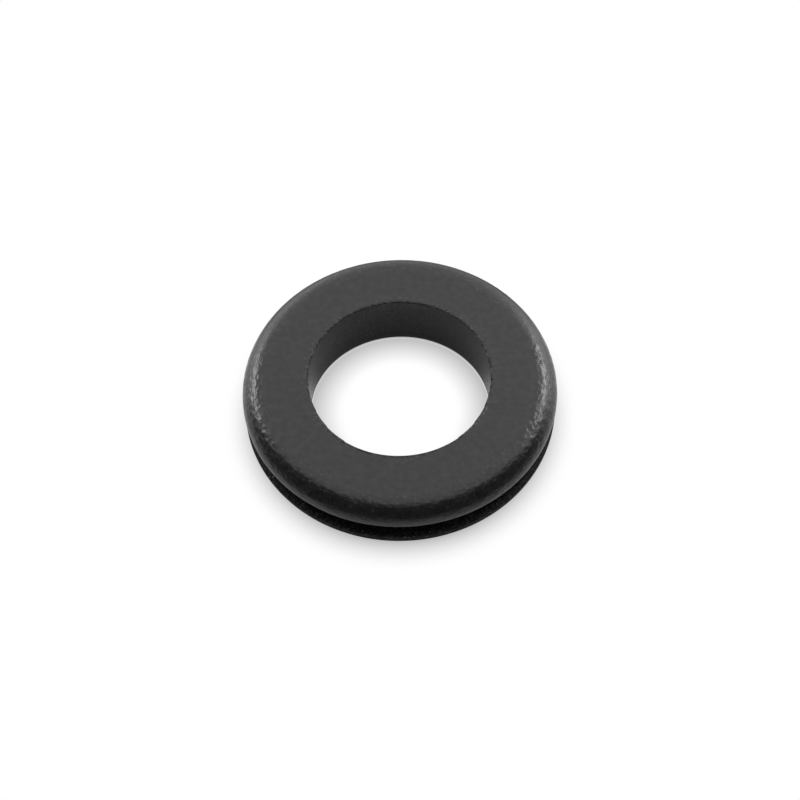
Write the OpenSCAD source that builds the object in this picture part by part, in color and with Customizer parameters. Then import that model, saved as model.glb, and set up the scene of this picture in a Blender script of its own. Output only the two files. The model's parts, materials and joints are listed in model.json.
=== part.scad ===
// Cable grommet: one rubber moulding with two equal flanges and a groove for the panel's edge.
// Millimetres. The underside lies on z = 0 and the bore runs up the Z axis.

/* [Bore] */
// Diameter of the cable bore
bore_d = 14; // [6:0.5:16]
// Rounding of the bore's upper edge, almost sharp
bore_top_r = 0.1; // [0.05:0.05:0.6]
// Rounding of the bore's lower edge
bore_bottom_r = 0.4; // [0.05:0.05:0.6]

/* [Panel groove] */
// Diameter of the groove's floor, the size of the hole in the panel
groove_d = 18; // [17:0.5:20]
// Width of the groove, the thickest panel that it takes
groove_w = 1.4; // [0.8:0.1:4]
// Fillet in the two inner corners of the groove
groove_root_r = 0.2; // [0.05:0.05:0.35]

/* [Flanges] */
// Outside diameter of both flanges
flange_d = 24; // [23:0.5:40]
// Thickness of each flange
flange_t = 1.8; // [1.4:0.1:3]
// Radius of the bulged side of the rim
rim_side_r = 1.7; // [1.7:0.1:4]
// Radius of the rim's shoulder, between its side and the flat face
rim_shoulder_r = 1.45; // [0.3:0.05:1.5]
// Rounding of the rim's edge at the groove
rim_groove_r = 0.2; // [0.05:0.05:0.3]

/* [Hidden] */
$fn = 96;
overlap = 0.01; // reach of a corner past the two faces that it joins
arc_margin = 0.1; // least height left to each arc of the rim

bore_radius = bore_d / 2;
groove_radius = groove_d / 2;
flange_radius = flange_d / 2;
height = 2 * flange_t + groove_w;

// The rim in section, up from the groove: an edge, an upright side arc, and a smaller shoulder
// arc that meets both the side arc and the flat face without a corner.
side_h = flange_t - rim_groove_r;
shoulder_r = min(rim_shoulder_r, side_h - arc_margin);
side_r = max(rim_side_r, side_h + arc_margin);
centre_gap = side_r - shoulder_r;
centre_rise = side_h - shoulder_r;
centre_run = sqrt(pow(centre_gap, 2) - pow(centre_rise, 2));
edge_centre = [flange_radius - rim_groove_r, rim_groove_r];
side_centre = [flange_radius - side_r, rim_groove_r];
shoulder_centre = side_centre + [centre_run, centre_rise];
arcs_meet_y = side_centre.y + side_r * centre_rise / centre_gap;

// What lies between a square corner at the origin and the quarter circle that rounds it.
module corner(r) {
    difference() {
        translate([-overlap, -overlap]) square(r + overlap);
        translate([r, r]) circle(r);
    }
}

// The part of a disc that lies past a given radius of the grommet, from one height to another.
module disc_part(centre, r, past, low, high) {
    intersection() {
        translate(centre) circle(r);
        translate([past, low]) square([2 * r, high - low]);
    }
}

// Half section of one flange, with the groove's side on y = 0 and the flat face above it.
module flange_section() {
    face_radius = shoulder_centre.x;
    translate([bore_radius, 0]) square([face_radius - bore_radius, flange_t]);
    translate([face_radius, 0]) square([edge_centre.x - face_radius, rim_groove_r]);
    disc_part(edge_centre, rim_groove_r, edge_centre.x, -rim_groove_r, rim_groove_r);
    disc_part(side_centre, side_r, face_radius, rim_groove_r, arcs_meet_y);
    disc_part(shoulder_centre, shoulder_r, face_radius, arcs_meet_y, flange_t + shoulder_r);
}

// Half section of the sleeve between the flanges, with the fillets at its two ends.
module sleeve_section() {
    translate([bore_radius, flange_t]) square([groove_radius - bore_radius, groove_w]);
    translate([groove_radius, flange_t]) corner(groove_root_r);
    translate([groove_radius, flange_t + groove_w]) mirror([0, 1]) corner(groove_root_r);
}

// Half section of the whole grommet, with the two edges of its bore rounded.
module grommet_section() {
    difference() {
        union() {
            translate([0, flange_t]) mirror([0, 1]) flange_section();
            sleeve_section();
            translate([0, flange_t + groove_w]) flange_section();
        }
        translate([bore_radius, 0]) corner(bore_bottom_r);
        translate([bore_radius, height]) mirror([0, 1]) corner(bore_top_r);
    }
}

module grommet() {
    color("#1f1f1f") rotate_extrude() grommet_section();
}

grommet();
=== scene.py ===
"""A rubber cable grommet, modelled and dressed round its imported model, on a plain white table."""

from __future__ import annotations

import json
import logging
import math
from dataclasses import dataclass, fields
from typing import Any, Callable

import bmesh
import bpy
from mathutils import Matrix, Vector

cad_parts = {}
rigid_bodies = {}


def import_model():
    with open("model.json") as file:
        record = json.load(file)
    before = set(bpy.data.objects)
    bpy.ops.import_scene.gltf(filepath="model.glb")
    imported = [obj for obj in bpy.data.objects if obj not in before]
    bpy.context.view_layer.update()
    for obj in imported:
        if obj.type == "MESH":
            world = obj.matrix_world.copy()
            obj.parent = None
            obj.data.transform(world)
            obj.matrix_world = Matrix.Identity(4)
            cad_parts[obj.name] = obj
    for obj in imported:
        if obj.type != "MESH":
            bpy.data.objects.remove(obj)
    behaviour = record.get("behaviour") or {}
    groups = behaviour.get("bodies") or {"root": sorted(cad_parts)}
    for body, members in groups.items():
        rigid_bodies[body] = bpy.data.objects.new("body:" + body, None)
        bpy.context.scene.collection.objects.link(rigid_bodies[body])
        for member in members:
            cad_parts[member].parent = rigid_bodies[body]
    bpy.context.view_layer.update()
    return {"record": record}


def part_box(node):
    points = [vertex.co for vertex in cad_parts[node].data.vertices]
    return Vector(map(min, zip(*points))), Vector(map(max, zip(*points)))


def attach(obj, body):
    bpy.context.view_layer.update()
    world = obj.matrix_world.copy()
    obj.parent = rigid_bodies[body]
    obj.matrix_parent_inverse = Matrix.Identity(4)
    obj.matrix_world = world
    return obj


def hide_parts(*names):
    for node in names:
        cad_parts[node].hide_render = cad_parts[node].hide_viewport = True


LOG = logging.getLogger("grommet")
MM = 0.001
FULL_TURN = 2 * math.pi
QUARTER_TURN = math.pi / 2
WEDGES = 8  # the ring is spun as one wedge, which is then doubled until it closes
BEYOND = 1.0  # metres, further out than any place on the grommet

Point = tuple[float, float]  # in the half section: radius and height
Span = tuple[float, float]  # from one value to another, which may be the lower


def deselect_all() -> None:
    """Leaves nothing selected, so that the next operator works on its own piece alone."""
    bpy.ops.object.select_all(action="DESELECT")


def choose(piece: bpy.types.Object) -> None:
    """Makes a piece the only selected object and the active one.

    Args:
        piece: The piece.
    """
    deselect_all()
    piece.select_set(True)
    bpy.context.view_layer.objects.active = piece


def pick_vertices(piece: bpy.types.Object, wanted: Callable[[Vector], bool]) -> int:
    """Selects the vertices of a piece in edit mode by their place, and nothing else.

    Args:
        piece: The piece, in edit mode.
        wanted: Says of a place whether a vertex there is selected.

    Returns:
        How many vertices are selected.
    """
    bpy.ops.mesh.select_mode(type="VERT")
    bpy.ops.mesh.select_all(action="DESELECT")
    mesh = bmesh.from_edit_mesh(piece.data)
    count = 0
    for vertex in mesh.verts:
        if wanted(vertex.co):
            vertex.select_set(True)
            count += 1
    mesh.select_flush_mode()
    bmesh.update_edit_mesh(piece.data)
    return count


class SectionPen:
    """Draws a half section in the XZ plane with edit-mode operators, from one vertex on."""

    def __init__(self, name: str, start: Point) -> None:
        """Puts down the pen.

        Args:
            name: Name of the new piece.
            start: Radius and height of the first vertex.
        """
        deselect_all()
        bpy.ops.mesh.primitive_plane_add(size=MM)
        self.piece = bpy.context.active_object
        self.piece.name = name
        self.piece.data.name = name
        self.at = start
        bpy.ops.object.mode_set(mode="EDIT")
        bpy.ops.mesh.select_all(action="SELECT")
        bpy.ops.mesh.merge(type="CENTER")
        bpy.ops.transform.translate(value=(start[0], 0.0, start[1]))

    def line(self, end: Point, steps: int = 1) -> None:
        """Draws a straight stretch.

        Args:
            end: Radius and height of its end.
            steps: How many edges it is made of.
        """
        stride = ((end[0] - self.at[0]) / steps, 0.0, (end[1] - self.at[1]) / steps)
        for _ in range(steps):
            bpy.ops.mesh.extrude_region_move(TRANSFORM_OT_translate={"value": stride})
        self.at = end

    def arc(self, centre: Point, turn: float, steps: int) -> None:
        """Draws a round stretch.

        Args:
            centre: Radius and height of its centre.
            turn: Angle that it turns through, anticlockwise with the height upwards.
            steps: How many edges it is made of.
        """
        bpy.ops.mesh.spin(
            steps=steps,
            angle=turn,
            center=(centre[0], 0.0, centre[1]),
            axis=(0.0, 1.0, 0.0),
            use_auto_merge=False,
        )
        out = (self.at[0] - centre[0], self.at[1] - centre[1])
        cosine, sine = math.cos(turn), math.sin(turn)
        self.at = (
            centre[0] + out[0] * cosine - out[1] * sine,
            centre[1] + out[0] * sine + out[1] * cosine,
        )

    def turn_about_axis(self, steps: int, weld: float) -> bpy.types.Object:
        """Spins the closed section into a ring with its faces outwards.

        Args:
            steps: How many steps the full turn is made of.
            weld: Distance under which vertices are merged.

        Returns:
            The ring, in object mode.
        """
        wedge = FULL_TURN / WEDGES
        bpy.ops.mesh.select_all(action="SELECT")
        bpy.ops.mesh.remove_doubles(threshold=weld)
        bpy.ops.mesh.select_all(action="SELECT")
        bpy.ops.mesh.spin(
            steps=steps // WEDGES,
            angle=wedge,
            center=(0.0, 0.0, 0.0),
            axis=(0.0, 0.0, 1.0),
            use_auto_merge=False,
        )
        share = 1
        while share < WEDGES:
            bpy.ops.mesh.select_all(action="SELECT")
            bpy.ops.mesh.duplicate()
            bpy.ops.transform.rotate(value=wedge * share, orient_axis="Z", center_override=(0.0, 0.0, 0.0))
            share *= 2
        bpy.ops.mesh.select_all(action="SELECT")
        bpy.ops.mesh.remove_doubles(threshold=weld)
        bpy.ops.mesh.normals_make_consistent(inside=False)
        bpy.ops.object.mode_set(mode="OBJECT")
        return self.piece


@dataclass(frozen=True)
class Patch:
    """A band of the moulding whose surface is a little uneven, moved or both."""

    name: str
    relief: float  # how far its places stand up or lie low, at most
    seed: int
    radii: Span
    heights: Span
    front_to_back: Span = (-BEYOND, BEYOND)
    swell: float = 0.0  # how far it stands up on the whole
    share: float = 1.0  # how many of the band's places belong to it
    stretch: float = 1.0  # its new width over its old one, about the axis

    def holds(self, place: Vector) -> bool:
        """Says whether a place is in the band.

        Args:
            place: Place of a vertex.

        Returns:
            True if it is.
        """
        slack = 0.001 * MM
        radius = math.hypot(place.x, place.y)
        across = self.radii[0] - slack < radius < self.radii[1] + slack
        upright = self.heights[0] - slack < place.z < self.heights[1] + slack
        return across and upright and self.front_to_back[0] <= place.y < self.front_to_back[1]


@dataclass
class Grommet:
    """The one moulding: two flanges with bulged rims, a sleeve between them and an open bore."""

    outer_radius: float
    height: float
    bore_radius: float
    groove_radius: float = 9.0 * MM
    flange_thickness: float = 1.8 * MM
    side_radius: float = 1.7 * MM
    shoulder_radius: float = 1.45 * MM
    edge_radius: float = 0.2 * MM
    fillet_radius: float = 0.2 * MM
    bore_top_radius: float = 0.1 * MM
    bore_bottom_radius: float = 0.4 * MM
    undercut_drop: float = 0.22 * MM  # from the upper face down to the undercut below the lip
    wall_drop: float = 0.36 * MM  # from the upper face down to where the bore's wall is straight
    # Where the face runs out into the shoulder: distance in from the shoulder's arc, and rise
    crown: tuple[Point, ...] = (
        (-0.1 * MM, 0.0),
        (0.0, 0.0105 * MM),
        (0.1 * MM, 0.0184 * MM),
        (0.25 * MM, 0.025 * MM),
        (0.45 * MM, 0.029 * MM),
        (0.8 * MM, 0.0316 * MM),
    )
    crown_lean: float = math.radians(9.0)  # slope of the shoulder where the crown begins
    steps_round: int = 368
    name: str = "grommet_moulding"

    @classmethod
    def from_frame(cls, record: dict[str, Any], node: str) -> Grommet:
        """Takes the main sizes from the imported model.

        Args:
            record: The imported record, with its mounts.
            node: Name of the model's node.

        Returns:
            A grommet of the same size.
        """
        low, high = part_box(node)
        bore = next(m for m in record["mounts"] if m["name"] == "bore")
        return cls(
            outer_radius=(high.x - low.x) / 2,
            height=high.z - low.z,
            bore_radius=bore["dims"]["r_mm"] * MM,
        )

    def build(self) -> bpy.types.Object:
        """Draws the section, turns it about the bore's axis and smooths it.

        Returns:
            The finished piece, with its place in its mesh.
        """
        piece = self._ring()
        choose(piece)
        self._roughen(piece)
        smooth = piece.modifiers.new("smooth", "SUBSURF")
        smooth.levels = smooth.render_levels = 1
        bpy.ops.object.modifier_apply(modifier=smooth.name)
        bpy.ops.object.shade_smooth()
        return piece

    def clothe(self, piece: bpy.types.Object, skin: bpy.types.Material, dusty_and_shaded: bpy.types.Material) -> None:
        """Puts the finishes on the ring.

        Args:
            piece: The finished ring.
            skin: Finish of the bore, the underside and the upper flange.
            dusty_and_shaded: Finish of the groove and of the lower flange's rim, under the upper one: specks
                of dust, painted shade as a weak reflection, and painted light as a paler front.
        """
        piece.data.materials.append(skin)
        piece.data.materials.append(dusty_and_shaded)
        choose(piece)
        bpy.ops.object.mode_set(mode="EDIT")
        # Above the underside's edge, up to the upper flange, and outside the bore
        low = 0.3 * MM
        high = self.height - self.flange_thickness + 0.02 * MM
        inner = self.bore_radius + 0.01 * MM
        pick_vertices(piece, lambda place: low < place.z < high and place.xy.length > inner)
        piece.active_material_index = 1
        bpy.ops.object.material_slot_assign()
        bpy.ops.object.mode_set(mode="OBJECT")

    def _roughen(self, piece: bpy.types.Object) -> None:
        """Makes the ring's uneven bands, one after the other.

        Args:
            piece: The ring, chosen and in object mode.
        """
        bpy.ops.object.mode_set(mode="EDIT")
        for patch in self._grain() + self._edge_wear():
            found = pick_vertices(piece, patch.holds)
            if patch.share < 1.0:
                bpy.ops.mesh.select_random(ratio=1.0 - patch.share, seed=patch.seed, action="DESELECT")
            scale = (patch.stretch, patch.stretch, 1.0)
            bpy.ops.transform.resize(value=scale, center_override=(0.0, 0.0, 0.0))
            bpy.ops.transform.shrink_fatten(value=patch.swell)
            bpy.ops.transform.vertex_random(offset=patch.relief, uniform=0.0, normal=1.0, seed=patch.seed)
            LOG.info("%s: %d vertices in the band of the %s", piece.name, found, patch.name)
        bpy.ops.object.mode_set(mode="OBJECT")

    def _face_height(self) -> float:
        """Works out the height of the upper face, over its crown."""
        return self.height + self.crown[-1][1]

    def _grain(self) -> tuple[Patch, ...]:
        """Lists the grain of the upper face and of the shoulder, which is coarser at the sides.

        Returns:
            The bands, in the order in which they are made uneven.
        """
        top = self._face_height()
        inner = self.bore_radius + self.bore_top_radius
        outer = self.outer_radius - 1.55 * MM
        face = ((inner, outer), (top - 0.01 * MM, top))
        shoulder = ((outer, self.outer_radius), (top - 1.4 * MM, top - 0.015 * MM))
        front = (-BEYOND, 3.0 * MM)
        sides = (-6.0 * MM, 3.0 * MM)
        back = (3.0 * MM, BEYOND)
        return (
            Patch("upper face", 0.002 * MM, 3, *face),
            Patch("front shoulder", 0.015 * MM, 5, *shoulder, front),
            Patch("side shoulders", 0.018 * MM, 17, *shoulder, sides),
            Patch("back shoulder", 0.008 * MM, 9, *shoulder, back),
        )

    def _edge_wear(self) -> tuple[Patch, ...]:
        """Lists what is torn and pushed about at the bore's upper edge, where the core pin left it.

        Returns:
            The bands, in the order in which they are made uneven.
        """
        top = self._face_height()
        edge = self.bore_radius + self.bore_top_radius
        under = top - self.undercut_drop
        face = (top - 0.01 * MM, top)
        corner = (top - self.bore_top_radius, top)
        below_corner = (under - 0.01 * MM, under + 0.01 * MM)
        front = (-BEYOND, -3.0 * MM)
        back = (-1.0 * MM, BEYOND)
        behind_front = (-3.0 * MM, BEYOND)
        front_sides = (-4.4 * MM, -3.0 * MM)
        front_corners = (-5.6 * MM, -4.4 * MM)
        on_edge = (edge, edge)
        by_edge = (edge, edge + 0.08 * MM)
        to_edge = (0.0, edge)
        drawn_in = (0.0, self.bore_radius)
        return (
            Patch("front burr", 0.016 * MM, 15, on_edge, face, front, swell=0.075 * MM),
            Patch("back burr", 0.008 * MM, 7, by_edge, face, back, swell=0.014 * MM, share=0.3),
            Patch("lip", 0.006 * MM, 19, to_edge, corner, behind_front, stretch=0.983),
            Patch("side lip", 0.006 * MM, 21, to_edge, corner, front_sides, stretch=0.988),
            Patch("front lip", 0.006 * MM, 23, to_edge, corner, front_corners, stretch=0.994),
            Patch("undercut", 0.012 * MM, 25, to_edge, below_corner, back, swell=-0.06 * MM),
            Patch("chipped edge", 0.012 * MM, 11, drawn_in, corner, back, swell=-0.075 * MM, share=0.3),
        )

    def _ring(self) -> bpy.types.Object:
        """Draws the section's outline from the bore's upper edge down and round, and turns it.

        Returns:
            The ring, in object mode.
        """
        top = self.height
        groove_low = self.flange_thickness
        groove_high = top - self.flange_thickness
        gap = self.side_radius - self.shoulder_radius
        rise = self.flange_thickness - self.edge_radius - self.shoulder_radius
        lean = math.asin(rise / gap)
        side_x = self.outer_radius - self.side_radius
        face_x = side_x + gap * math.cos(lean)
        edge_x = self.outer_radius - self.edge_radius
        fillet_x = self.groove_radius + self.fillet_radius
        face_z = self._face_height()
        edge_r = self.bore_top_radius
        edge_centre_x = self.bore_radius + edge_r
        burr_x = edge_centre_x + 0.15 * MM
        weld = 0.001 * MM
        pen = SectionPen(self.name, (self.bore_radius, face_z - edge_r))
        # Down the bore and round its lower edge
        pen.line((self.bore_radius, face_z - self.undercut_drop))
        pen.line((self.bore_radius, face_z - self.wall_drop))
        pen.line((self.bore_radius, self.bore_bottom_radius), 2)
        pen.arc((self.bore_radius + self.bore_bottom_radius, self.bore_bottom_radius), QUARTER_TURN, 3)
        # Underside, then up round the lower flange's rim
        pen.line((face_x, 0.0), 2)
        pen.arc((face_x, self.shoulder_radius), QUARTER_TURN - lean, 6)
        pen.arc((side_x, groove_low - self.edge_radius), lean, 4)
        pen.arc((edge_x, groove_low - self.edge_radius), QUARTER_TURN, 2)
        # Groove
        pen.line((fillet_x, groove_low), 2)
        pen.arc((fillet_x, groove_low + self.fillet_radius), -QUARTER_TURN, 2)
        pen.line((self.groove_radius, groove_high - self.fillet_radius), 1)
        pen.arc((fillet_x, groove_high - self.fillet_radius), -QUARTER_TURN, 2)
        pen.line((edge_x, groove_high), 2)
        # Up round the upper flange's rim, then in over its face
        pen.arc((edge_x, groove_high + self.edge_radius), QUARTER_TURN, 2)
        pen.arc((side_x, groove_high + self.edge_radius), lean, 7)
        pen.arc((face_x, top - self.shoulder_radius), QUARTER_TURN - lean - self.crown_lean, 10)
        for inward, lift in self.crown:
            pen.line((face_x - inward, top + lift))
        pen.line((burr_x, face_z), 6)
        pen.line((edge_centre_x, face_z), 2)
        pen.arc((edge_centre_x, face_z - edge_r), QUARTER_TURN, 3)
        return pen.turn_about_axis(self.steps_round, weld)


@dataclass(frozen=True)
class Blotches:
    """A noise pattern that is cut off below and above, which leaves soft-edged blotches."""

    scale: float  # grains in a millimetre
    detail: float  # finer layers
    low: float  # noise up to which there is nothing
    high: float  # noise from which the blotch is full


class Wiring:
    """Adds nodes to a tree and joins them."""

    def __init__(self, tree: bpy.types.NodeTree) -> None:
        """Takes the tree to be wired."""
        self.tree = tree

    def add(self, kind: str, **settings: Any) -> bpy.types.Node:
        """Adds a node.

        Args:
            kind: Its type.
            **settings: Properties that are set on it.

        Returns:
            The node.
        """
        node = self.tree.nodes.new(kind)
        for key, value in settings.items():
            setattr(node, key, value)
        return node

    def feed(self, socket: bpy.types.NodeSocket, value: Any) -> None:
        """Links an output to a socket, or sets a plain value on it.

        Args:
            socket: The input.
            value: The output or the value.
        """
        if isinstance(value, bpy.types.NodeSocket):
            self.tree.links.new(value, socket)
        else:
            socket.default_value = value

    def math(self, operation: str, *values: Any, clamp: bool = False) -> bpy.types.NodeSocket:
        """Adds a Math node.

        Args:
            operation: What it does.
            *values: Its inputs, as numbers or outputs.
            clamp: Whether the result is kept between 0 and 1.

        Returns:
            Its output.
        """
        node = self.add("ShaderNodeMath", operation=operation, use_clamp=clamp)
        for socket, value in zip(node.inputs, values):
            self.feed(socket, value)
        return node.outputs["Value"]

    def blend(self, share: Any, low: Any, high: Any) -> bpy.types.NodeSocket:
        """Adds a Mix node between two numbers.

        Args:
            share: How much of the second there is.
            low: Value at share 0.
            high: Value at share 1.

        Returns:
            Its output.
        """
        node = self.add("ShaderNodeMix", data_type="FLOAT")
        for socket, value in zip(node.inputs[:1] + node.inputs[2:4], (share, low, high)):
            self.feed(socket, value)
        return node.outputs[0]

    def rise(self, value: Any, low: Any, high: Any) -> bpy.types.NodeSocket:
        """Adds a smooth step.

        Args:
            value: What is looked at.
            low: Value up to which the result is 0.
            high: Value from which it is 1.

        Returns:
            The step's output.
        """
        node = self.add("ShaderNodeMapRange", interpolation_type="SMOOTHSTEP")
        for socket, number in zip(node.inputs[:3], (value, low, high)):
            self.feed(socket, number)
        return node.outputs["Result"]

    def noise(self, vector: Any, scale: Any, detail: float) -> bpy.types.NodeSocket:
        """Adds a noise texture.

        Args:
            vector: Where it is read.
            scale: How many grains there are in a unit.
            detail: How many finer layers it has.

        Returns:
            Its value, around a half.
        """
        node = self.add("ShaderNodeTexNoise")
        self.feed(node.inputs["Vector"], vector)
        self.feed(node.inputs["Scale"], scale)
        node.inputs["Detail"].default_value = detail
        return node.outputs["Fac"]

    def blotches(self, millimetres: Any, pattern: Blotches) -> bpy.types.NodeSocket:
        """Adds soft-edged blotches."""
        noise = self.noise(millimetres, pattern.scale, pattern.detail)
        return self.rise(noise, pattern.low, pattern.high)

    def specks(self, vector: Any, scale: float, share: Any, size: float) -> bpy.types.NodeSocket:
        """Adds small scattered round specks.

        Args:
            vector: Where they are read.
            scale: How many cells there are in a unit.
            share: Share of the cells that hold a speck.
            size: How much the radius of a speck varies, in cells.

        Returns:
            A mask that is brightest in the middle of each speck, up to 1.
        """
        cells = self.add("ShaderNodeTexVoronoi")
        self.feed(cells.inputs["Vector"], vector)
        cells.inputs["Scale"].default_value = scale
        lot = self.add("ShaderNodeSeparateColor")
        self.feed(lot.inputs["Color"], cells.outputs["Color"])
        drawn = self.math("LESS_THAN", lot.outputs["Red"], share)
        least = size * 0.4
        spread = self.math("MULTIPLY_ADD", lot.outputs["Green"], size, least)
        spot = self.math("SUBTRACT", 1.0, self.math("DIVIDE", cells.outputs["Distance"], spread), clamp=True)
        return self.math("MULTIPLY", drawn, self.math("MULTIPLY", spot, lot.outputs["Blue"]))

    def bump(self, height: Any, depth: Any, below: Any = None) -> bpy.types.NodeSocket:
        """Adds a bump.

        Args:
            height: Relief, from 0 to 1.
            depth: What a height of 1 stands for.
            below: Normal of a coarser relief, if there is one.

        Returns:
            The new normal.
        """
        node = self.add("ShaderNodeBump")
        self.feed(node.inputs["Height"], height)
        self.feed(node.inputs["Distance"], depth)
        if below is not None:
            self.feed(node.inputs["Normal"], below)
        return node.outputs["Normal"]

    def split(self, vector: Any) -> tuple[bpy.types.NodeSocket, ...]:
        """Takes a vector apart.

        Args:
            vector: The vector.

        Returns:
            Its X, Y and Z.
        """
        node = self.add("ShaderNodeSeparateXYZ")
        self.feed(node.inputs[0], vector)
        return tuple(node.outputs)

    def join(self, x: Any, y: Any, z: Any) -> bpy.types.NodeSocket:
        """Puts a vector together.

        Args:
            x: Its X.
            y: Its Y.
            z: Its Z.

        Returns:
            The vector.
        """
        node = self.add("ShaderNodeCombineXYZ")
        for socket, value in zip(node.inputs, (x, y, z)):
            self.feed(socket, value)
        return node.outputs["Vector"]

    def in_millimetres(self, place: Any) -> bpy.types.NodeSocket:
        """Scales a place up, so that its unit is a millimetre.

        Args:
            place: Coordinates in metres.

        Returns:
            The coordinates in millimetres.
        """
        node = self.add("ShaderNodeVectorMath", operation="SCALE")
        self.feed(node.inputs[0], place)
        self.feed(node.inputs["Scale"], 1.0 / MM)
        return node.outputs["Vector"]

    def from_axis(self, x: Any, y: Any) -> bpy.types.NodeSocket:
        """Measures how far a place is from the upright axis.

        Args:
            x: Place from left to right.
            y: Place from front to back.

        Returns:
            The distance.
        """
        node = self.add("ShaderNodeVectorMath", operation="LENGTH")
        self.feed(node.inputs[0], self.join(x, y, 0.0))
        return node.outputs["Value"]

    def effect(self, group: bpy.types.NodeTree, known: dict[str, Any]) -> bpy.types.Node:
        """Places a node group.

        Args:
            group: The group.
            known: Values and outputs by name, among them one for each input of the group.

        Returns:
            The group's node.
        """
        node = self.add("ShaderNodeGroup", node_tree=group)
        for socket in node.inputs:
            self.feed(socket, known[socket.name])
        return node


class Effect(Wiring):
    """A shader node group that is being wired: one effect, with named inputs and outputs."""

    def __init__(self, name: str, inputs: tuple[str, ...], outputs: dict[str, str]) -> None:
        """Starts the group.

        Args:
            name: Its name.
            inputs: Names of its inputs: "Place" takes coordinates, and the others numbers.
            outputs: What each of its outputs puts out, by name: Float, Color or Vector.
        """
        super().__init__(bpy.data.node_groups.new(name, "ShaderNodeTree"))
        for label in inputs:
            kind = "NodeSocketVector" if label == "Place" else "NodeSocketFloat"
            self.tree.interface.new_socket(name=label, in_out="INPUT", socket_type=kind)
        for label, kind in outputs.items():
            self.tree.interface.new_socket(name=label, in_out="OUTPUT", socket_type="NodeSocket" + kind)
        self.start = self.add("NodeGroupInput")
        self.end = self.add("NodeGroupOutput")

    def given(self, *labels: str) -> tuple[bpy.types.NodeSocket, ...]:
        """Looks up what comes in by name."""
        return tuple(self.start.outputs[label] for label in labels)

    def give(self, label: str, value: Any) -> None:
        """Puts out a value by name."""
        self.feed(self.end.inputs[label], value)


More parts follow.
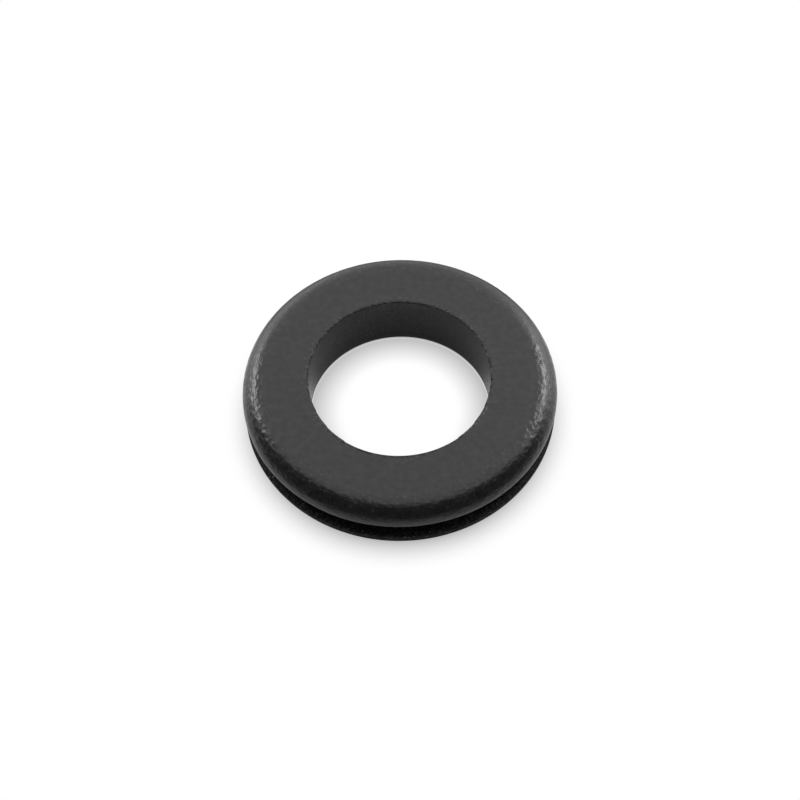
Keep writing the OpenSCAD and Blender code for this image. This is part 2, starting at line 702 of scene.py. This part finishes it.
class RubberEffects:
    """The effects that the grommet's rubbers share, each built once as a node group."""

    # Where each mask begins and where it is full
    shoulder_radii: Span = (10.1 * MM, 10.7 * MM)
    outer_scuff_radii: Span = (9.7 * MM, 10.4 * MM)
    inner_scuff_radii: Span = (7.9 * MM, 7.2 * MM)
    wall_radii: Span = (7.16 * MM, 7.08 * MM)
    wall_heights: Span = (4.86 * MM, 4.76 * MM)
    lip_radii: Span = (7.07 * MM, 7.0 * MM)
    lip_heights: Span = (4.76 * MM, 4.86 * MM)
    front_reach: Span = (-7.0 * MM, -11.0 * MM)
    gloss_reach: Span = (6.0 * MM, 2.0 * MM)
    flake_reach: Span = (5.0 * MM, 1.0 * MM)
    side_reach: Span = (5.0 * MM, 9.5 * MM)
    # How strong a mask stays where its pattern is weakest
    front_flakes: float = 0.6
    sound_lip: float = 0.3
    # Patterns
    cloud_detail: float = 3.0
    flake_detail: float = 2.0
    pit_detail: float = 2.0
    torn: Blotches = Blotches(2.2, 2.0, 0.42, 0.54)
    film: Blotches = Blotches(5.0, 3.0, 0.5, 0.7)
    scratches: Blotches = Blotches(4.0, 4.0, 0.56, 0.68)
    patches: Blotches = Blotches(1.7, 2.0, 0.3, 0.7)
    specks_scale: float = 3.2
    speck_size: float = 0.19
    pits_scale: float = 9.0
    bore_pits: float = 1.6  # how much deeper the pits are in the bore
    # Flakes, which lie round a ring of this radius
    ring_radius: float = 11.2 * MM
    flake_length: float = 0.6 * MM
    flake_width: float = 0.23 * MM

    def __init__(self) -> None:
        """Builds the groups."""
        self.zones = self._zones()
        self.tone = self._tone()
        self.gloss = self._gloss()
        self.relief = self._relief()

    def _zones(self) -> bpy.types.NodeTree:
        """Wires the masks of the moulding's parts.

        Returns:
            A group that puts out one mask for each part, from a place in object coordinates.
        """
        masks = ("Shoulder", "Bore", "Lip", "Front", "Flaky", "Rubbed")
        group = Effect("moulding_zones", ("Place",), dict.fromkeys(masks, "Float"))
        (place,) = group.given("Place")
        x, y, z = group.split(place)
        radius = group.from_axis(x, y)
        shoulder = group.rise(radius, *self.shoulder_radii)
        # The shoulder is polished in front and at the sides, and flaky there too
        polished = group.math("MULTIPLY", shoulder, group.rise(y, *self.gloss_reach))
        forward = group.math("MULTIPLY", shoulder, group.rise(y, *self.flake_reach))
        sides = group.rise(group.math("ABSOLUTE", x), *self.side_reach)
        flaky = group.math("MULTIPLY", forward, group.blend(sides, self.front_flakes, 1.0))
        # The bore's wall, and the lip over it, which is torn in places
        wall_level = group.rise(z, *self.wall_heights)
        wall = group.math("MULTIPLY", wall_level, group.rise(radius, *self.wall_radii))
        lip_level = group.rise(z, *self.lip_heights)
        edge = group.math("MULTIPLY", lip_level, group.rise(radius, *self.lip_radii))
        torn = group.blotches(group.in_millimetres(place), self.torn)
        lip = group.math("MULTIPLY", edge, group.blend(torn, self.sound_lip, 1.0))
        outer_scuffs = group.rise(radius, *self.outer_scuff_radii)
        inner_scuffs = group.rise(radius, *self.inner_scuff_radii)
        group.give("Shoulder", polished)
        group.give("Bore", wall)
        group.give("Lip", lip)
        group.give("Front", group.rise(y, *self.front_reach))
        group.give("Flaky", flaky)
        group.give("Rubbed", group.math("MAXIMUM", outer_scuffs, inner_scuffs))
        return group.tree

    def _tone(self) -> bpy.types.NodeTree:
        """Wires the colour: cloudy black, with a film in the bore, scuffs, specks of dust, and painted light
        that makes it paler in front.

        Returns:
            A group that puts out the colour.
        """
        masks = ("Bore", "Front", "Rubbed")
        black = ("Dark", "Pale", "Cloud scale", "Cloud low", "Cloud high")
        dirt_and_painted_light = ("Front dust", "Bore dust", "Scuff", "Dust", "Dust share")
        group = Effect("rubber_tone", ("Place", *masks, *black, *dirt_and_painted_light), {"Tone": "Color"})
        (place,) = group.given("Place")
        bore, front, rubbed = group.given(*masks)
        dark, pale, cloud_scale, cloud_low, cloud_high = group.given(*black)
        front_dust, bore_dust, scuff, dust, dust_share = group.given(*dirt_and_painted_light)
        millimetres = group.in_millimetres(place)
        noise = group.noise(millimetres, cloud_scale, self.cloud_detail)
        cloudy = group.blend(group.rise(noise, cloud_low, cloud_high), dark, pale)
        # Painted light: the colour is made paler in front, where the rim lies in shade
        tone = group.math("MULTIPLY", cloudy, group.blend(front, 1.0, front_dust))
        film = group.math("MULTIPLY", bore, group.blotches(millimetres, self.film))
        tone = group.math("MULTIPLY_ADD", film, bore_dust, tone)
        scuffs = group.math("MULTIPLY", rubbed, group.blotches(millimetres, self.scratches))
        tone = group.math("MULTIPLY_ADD", scuffs, scuff, tone)
        specks = group.specks(millimetres, self.specks_scale, dust_share, self.speck_size)
        group.give("Tone", group.blend(specks, tone, dust))
        return group.tree

    def _gloss(self) -> bpy.types.NodeTree:
        """Wires the roughness: patchy, less on the shoulder and in the bore, and high on its lip.

        Returns:
            A group that puts out the roughness.
        """
        masks = ("Shoulder", "Bore", "Lip")
        values = ("Polished", "Dull", "Shoulder gloss", "Bore gloss", "Lip roughness")
        group = Effect("rubber_gloss", ("Place", *masks, *values), {"Roughness": "Float"})
        (place,) = group.given("Place")
        shoulder, bore, lip = group.given(*masks)
        polished, dull, shoulder_gloss, bore_gloss, lip_roughness = group.given(*values)
        patches = group.blotches(group.in_millimetres(place), self.patches)
        rubbed = group.math("MULTIPLY", shoulder, shoulder_gloss)
        gloss = group.blend(bore, rubbed, bore_gloss)
        moulded = group.math("SUBTRACT", group.blend(patches, polished, dull), gloss)
        group.give("Roughness", group.blend(lip, moulded, lip_roughness))
        return group.tree

    def _relief(self) -> bpy.types.NodeTree:
        """Wires the normal: flakes drawn out round the shoulder, and fine pits on them.

        Returns:
            A group that puts out the normal.
        """
        masks = ("Bore", "Flaky")
        depths = ("Grain depth", "Flake depth", "Pit depth")
        group = Effect("rubber_relief", ("Place", *masks, *depths), {"Normal": "Vector"})
        (place,) = group.given("Place")
        bore, flaky = group.given(*masks)
        grain_depth, flake_depth, pit_depth = group.given(*depths)
        flakes = group.noise(self._round_the_ring(group, place), 1.0, self.flake_detail)
        depth = group.blend(flaky, grain_depth, flake_depth)
        coarse = group.bump(group.math("MULTIPLY", flakes, depth), 1.0)
        pits = group.noise(group.in_millimetres(place), self.pits_scale, self.pit_detail)
        fine = group.math("MULTIPLY", pits, group.blend(bore, 1.0, self.bore_pits))
        group.give("Normal", group.bump(fine, pit_depth, coarse))
        return group.tree

    def _round_the_ring(self, group: Effect, place: Any) -> bpy.types.NodeSocket:
        """Makes coordinates that run round the ring and across it, without a seam.

        Args:
            group: The group that is being wired.
            place: Object coordinates.

        Returns:
            A vector whose unit is one flake, longer round the ring than across it.
        """
        scale = self.ring_radius / self.flake_length
        x, y, z = group.split(place)
        radius = group.from_axis(x, y)
        return group.join(
            group.math("MULTIPLY", group.math("DIVIDE", x, radius), scale),
            group.math("MULTIPLY", group.math("DIVIDE", y, radius), scale),
            group.math("DIVIDE", group.math("SUBTRACT", radius, z), self.flake_width),
        )


@dataclass(frozen=True)
class Rubber:
    """Finish of the moulded black rubber: a dull, finely grained skin with a little dust on it."""

    name: str = "moulded_rubber"
    # Black, in clouds from dark to pale
    dark: float = 0.004
    pale: float = 0.0125
    cloud_scale: float = 1.8  # clouds in a millimetre
    cloud_low: float = 0.3
    cloud_high: float = 0.7
    # Dust and wear, and painted light that makes it paler in front
    front_dust: float = 1.0  # how many times paler it is in front
    bore_dust: float = 0.022
    scuff: float = 0.02
    dust: float = 0.12
    dust_share: float = 0.012
    # Gloss: roughness, and what is taken off it on the shoulder and in the bore
    specular: float = 0.5
    polished: float = 0.34
    dull: float = 0.4
    shoulder_gloss: float = 0.1
    bore_gloss: float = 0.16
    lip_roughness: float = 0.85
    # Relief
    grain_depth: float = 0.004 * MM
    flake_depth: float = 0.03 * MM
    pit_depth: float = 0.004 * MM

    def material(self, effects: RubberEffects) -> bpy.types.Material:
        """Builds the material, with this finish's own values in the shared effects.

        Args:
            effects: The node groups.

        Returns:
            The material, ready to be put on a piece.
        """
        material = bpy.data.materials.new(self.name)
        material.use_nodes = True
        wires = Wiring(material.node_tree)
        shader = material.node_tree.nodes["Principled BSDF"]
        shader.inputs["Specular IOR Level"].default_value = self.specular
        known: dict[str, Any] = {}
        for field in fields(self):
            known[field.name.replace("_", " ").capitalize()] = getattr(self, field.name)
        known["Place"] = wires.add("ShaderNodeTexCoord").outputs["Object"]
        known |= {mask.name: mask for mask in wires.effect(effects.zones, known).outputs}
        wires.feed(shader.inputs["Base Color"], wires.effect(effects.tone, known).outputs["Tone"])
        wires.feed(shader.inputs["Roughness"], wires.effect(effects.gloss, known).outputs["Roughness"])
        wires.feed(shader.inputs["Normal"], wires.effect(effects.relief, known).outputs["Normal"])
        return material


# Rubber of the groove and of the lower flange's rim: specks of dust, and a shaded copy of the rubber with
# painted shade as a weak reflection
DUSTY_AND_SHADED_RUBBER = Rubber(
    name="dusty_and_shaded_rubber",
    dark=0.005,
    pale=0.02,
    cloud_scale=4.0,
    cloud_low=0.46,
    cloud_high=0.66,
    # Painted light: paler in front, where the lower rim lies in shade
    front_dust=2.4,
    scuff=0.0,
    dust=0.5,
    dust_share=0.3,
    # Painted shade: little reflection, as under the upper flange
    specular=0.12,
    polished=0.5,
    dull=0.6,
    shoulder_gloss=0.0,
    flake_depth=0.006 * MM,
    pit_depth=0.012 * MM,
)


@dataclass(frozen=True)
class Softbox:
    """One rectangular lamp, aimed at the grommet. Its angles are in degrees, as seen from there."""

    name: str
    azimuth: float  # from the far side, towards the right
    elevation: float
    width: float
    height: float
    radiance: float
    distance: float = 0.3

    def place(self, target: Vector) -> bpy.types.Object:
        """Adds the lamp and aims it.

        Args:
            target: Point that it faces.

        Returns:
            The lamp.
        """
        around, up = math.radians(self.azimuth), math.radians(self.elevation)
        level = math.cos(up)
        out = Vector((math.sin(around) * level, math.cos(around) * level, math.sin(up)))
        bpy.ops.object.light_add(type="AREA", location=target + out * self.distance)
        lamp = bpy.context.active_object
        lamp.name = self.name
        lamp.rotation_euler = out.to_track_quat("Z", "Y").to_euler()
        lamp.data.shape = "RECTANGLE"
        lamp.data.size = 2 * self.distance * math.tan(math.radians(self.width) / 2)
        lamp.data.size_y = 2 * self.distance * math.tan(math.radians(self.height) / 2)
        lamp.data.energy = self.radiance * math.pi * lamp.data.size * lamp.data.size_y
        return lamp


SOFTBOXES = (
    Softbox("left_softbox", azimuth=-51.5, elevation=34.5, width=21.0, height=12.5, radiance=9.4),
    Softbox("left_screen", azimuth=-43.0, elevation=18.0, width=58.0, height=42.0, radiance=1.0),
    Softbox("right_softbox", azimuth=49.5, elevation=38.0, width=21.0, height=15.0, radiance=8.0),
    Softbox("right_screen", azimuth=51.0, elevation=25.0, width=44.0, height=54.0, radiance=1.15),
)


@dataclass(frozen=True)
class Table:
    """White table top, which keeps the grommet's contact shadow and has painted light and shadow in its
    colour.
    """

    bore_radius: float
    size: float = 2.0
    # Painted light and shadow in the table's colour, which the grommet reflects: less close to the grommet
    # and ahead of it, more under the bore
    dark_ring: Span = (12.1 * MM, 12.8 * MM)
    lit_centre: float = 2.0 * MM  # how far behind the axis the lit part lies
    lit_edge: Span = (13.0 * MM, 33.0 * MM)
    lit_share: float = 0.9
    ahead_reach: Span = (-6.0 * MM, 8.0 * MM)
    ahead_shares: Span = (0.2, 1.0)
    rear_reach: Span = (-7.0 * MM, 5.0 * MM)
    rear_edge: Span = (20.0 * MM, 50.0 * MM)
    rear_shares: Span = (0.26, 0.95)
    bore_reach: Span = (0.5 * MM, 3.8 * MM)
    bore_shares: Span = (1.5, 0.6)
    # Contact shadow: how far it reaches, and its least light and its slope outside and in the bore
    shadow_reach: float = 3.0 * MM
    shadow_least: Span = (0.22, 0.06)
    shadow_slopes: Span = (0.88, 1.0)
    shadow_samples: int = 24
    glossy_white: float = 0.35  # how much of the plain white a reflection shows

    def build(self) -> bpy.types.Object:
        """Adds the table top.

        Returns:
            The table.
        """
        deselect_all()
        bpy.ops.mesh.primitive_plane_add(size=self.size)
        table = bpy.context.active_object
        table.name = "table"
        table.data.materials.append(self._material())
        return table

    def _material(self) -> bpy.types.Material:
        """Builds its white.

        Returns:
            A material that is plain white with a shadow to the eye, and lit where light falls on it, with
            painted light and shadow in its colour.
        """
        material = bpy.data.materials.new("table_white")
        material.use_nodes = True
        wires = Wiring(material.node_tree)
        x, y, _ = wires.split(wires.add("ShaderNodeTexCoord").outputs["Object"])
        inside = wires.math("LESS_THAN", wires.from_axis(x, y), self.bore_radius)
        painted_pool_and_shadow = self._given_back(wires, x, y, inside)
        shade = self._contact_shadow(wires, inside)
        lit = material.node_tree.nodes["Principled BSDF"]
        lit.inputs["Roughness"].default_value = 1.0
        lit.inputs["Specular IOR Level"].default_value = 0.0
        wires.feed(lit.inputs["Base Color"], painted_pool_and_shadow)
        ray = wires.add("ShaderNodeLightPath").outputs
        seen = wires.math("MAXIMUM", ray["Is Camera Ray"], ray["Is Transmission Ray"])
        glimpsed = wires.math("MULTIPLY", ray["Is Glossy Ray"], self.glossy_white)
        reflected = wires.math("MULTIPLY", shade, painted_pool_and_shadow)
        white = wires.add("ShaderNodeEmission")
        wires.feed(white.inputs["Strength"], wires.blend(seen, reflected, shade))
        mix = wires.add("ShaderNodeMixShader")
        wires.feed(mix.inputs["Fac"], wires.math("MAXIMUM", seen, glimpsed))
        wires.feed(mix.inputs[1], lit.outputs["BSDF"])
        wires.feed(mix.inputs[2], white.outputs["Emission"])
        wires.feed(material.node_tree.nodes["Material Output"].inputs["Surface"], mix.outputs["Shader"])
        return material

    def _given_back(self, wires: Wiring, x: Any, y: Any, inside: Any) -> bpy.types.NodeSocket:
        """Works out the table's colour, with a painted pool of light and painted shadows in it.

        Args:
            wires: Wiring of the material.
            x: Place to the right.
            y: Place to the back.
            inside: Mask of what shows through the bore.

        Returns:
            The colour, as a share of white, with its painted light and shadow.
        """
        radius = wires.from_axis(x, y)
        from_lit = wires.from_axis(x, wires.math("SUBTRACT", y, self.lit_centre))
        # Painted pool of light: the colour is pale near the grommet and fades away from it, but behind it's
        # the other way round
        ahead = wires.blend(wires.rise(y, *self.ahead_reach), *self.ahead_shares)
        front_and_sides = wires.blend(wires.rise(from_lit, *self.lit_edge), self.lit_share, ahead)
        rear = wires.blend(wires.rise(from_lit, *self.rear_edge), *self.rear_shares)
        behind = wires.math("SUBTRACT", y, wires.math("ABSOLUTE", x))
        in_rear = wires.rise(behind, *self.rear_reach)
        around = wires.blend(in_rear, front_and_sides, rear)
        through_bore = wires.blend(wires.rise(y, *self.bore_reach), *self.bore_shares)
        share = wires.blend(inside, around, through_bore)
        # Painted shadow: close to the grommet the colour is black, but for the bore and the rear
        ring = wires.math("MAXIMUM", wires.rise(radius, *self.dark_ring), in_rear)
        return wires.math("MULTIPLY", share, wires.math("MAXIMUM", inside, ring))

    def _contact_shadow(self, wires: Wiring, inside: Any) -> bpy.types.NodeSocket:
        """Adds the soft shadow round the grommet.

        Args:
            wires: Wiring of the material.
            inside: Mask of what shows through the bore.

        Returns:
            The light that is left, from 0 to 1.
        """
        nearby = wires.add("ShaderNodeAmbientOcclusion", samples=self.shadow_samples)
        nearby.inputs["Distance"].default_value = self.shadow_reach
        least = wires.blend(inside, *self.shadow_least)
        slope = wires.blend(inside, *self.shadow_slopes)
        return wires.math("MULTIPLY_ADD", nearby.outputs["AO"], slope, least, clamp=True)


@dataclass(frozen=True)
class View:
    """The camera, which looks down at the grommet from the front."""

    # Angles in degrees
    elevation: float = 56.898
    roll: float = -1.745
    distance: float = 101.407 * MM
    # Focal length and width in millimetres
    lens: float = 59.336
    sensor: float = 36.0
    nearest: float = 1.0 * MM
    farthest: float = 10.0

    def build(self, target: Vector) -> bpy.types.Object:
        """Adds the camera and makes it the scene's own.

        Args:
            target: Point in the middle of the picture.

        Returns:
            The camera.
        """
        elevation, roll = math.radians(self.elevation), math.radians(self.roll)
        back = Vector((0.0, -math.cos(elevation), math.sin(elevation)))
        across = Vector((1.0, 0.0, 0.0))
        up = back.cross(across)
        right = across * math.cos(roll) + up * math.sin(roll)
        top = up * math.cos(roll) - across * math.sin(roll)
        bpy.ops.object.camera_add(location=target + back * self.distance)
        camera = bpy.context.active_object
        camera.rotation_euler = Matrix((right, top, back)).transposed().to_euler()
        camera.data.lens = self.lens
        camera.data.sensor_width = self.sensor
        camera.data.clip_start = self.nearest
        camera.data.clip_end = self.farthest
        bpy.context.scene.camera = camera
        return camera


@dataclass(frozen=True)
class Studio:
    """Table, lamps, room and camera."""

    bore_radius: float
    target: tuple[float, float, float] = (-0.007 * MM, -0.503 * MM, 2.4 * MM)
    front_light: float = 0.12
    back_light: float = 1.165
    # The pale wall reaches over the grommet, less far at the sides than in the middle
    wall_edge: Span = (-0.54, -0.1)
    left_lag: float = 0.9
    right_lag: float = 0.5

    def build(self) -> None:
        """Sets up everything that isn't the grommet."""
        target = Vector(self.target)
        Table(self.bore_radius).build()
        self._room()
        for box in SOFTBOXES:
            lamp = box.place(target)
            LOG.info("%s: %.4f W", lamp.name, lamp.data.energy)
        View().build(target)

    def _room(self) -> None:
        """Fills the room with a pale wall behind and little light in front."""
        world = bpy.data.worlds.new("room")
        bpy.context.scene.world = world
        world.use_nodes = True
        wires = Wiring(world.node_tree)
        background = world.node_tree.nodes["Background"]
        background.inputs["Color"].default_value = (1.0, 1.0, 1.0, 1.0)
        x, y, _ = wires.split(wires.add("ShaderNodeTexCoord").outputs["Generated"])
        to_left = wires.math("MULTIPLY", x, -self.left_lag)
        to_right = wires.math("MULTIPLY", x, self.right_lag)
        lag = wires.math("MAXIMUM", to_left, to_right)
        wall = wires.rise(wires.math("SUBTRACT", y, lag), *self.wall_edge)
        light = wires.blend(wall, self.front_light, self.back_light)
        ray = wires.add("ShaderNodeLightPath").outputs
        seen = wires.math("MAXIMUM", ray["Is Camera Ray"], ray["Is Transmission Ray"])
        wires.feed(background.inputs["Strength"], wires.blend(seen, light, 1.0))


def main() -> None:
    """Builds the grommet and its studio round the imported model."""
    logging.basicConfig(level=logging.INFO, format="%(name)s: %(message)s")
    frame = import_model()
    bpy.context.scene.view_settings.view_transform = "Standard"
    grommet = Grommet.from_frame(frame["record"], "grommet")
    piece = grommet.build()
    effects = RubberEffects()
    grommet.clothe(piece, Rubber().material(effects), DUSTY_AND_SHADED_RUBBER.material(effects))
    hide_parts("grommet")
    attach(piece, "root")
    LOG.info("%s: %d faces", piece.name, len(piece.data.polygons))
    Studio(grommet.bore_radius).build()


if __name__ == "__main__":
    main()
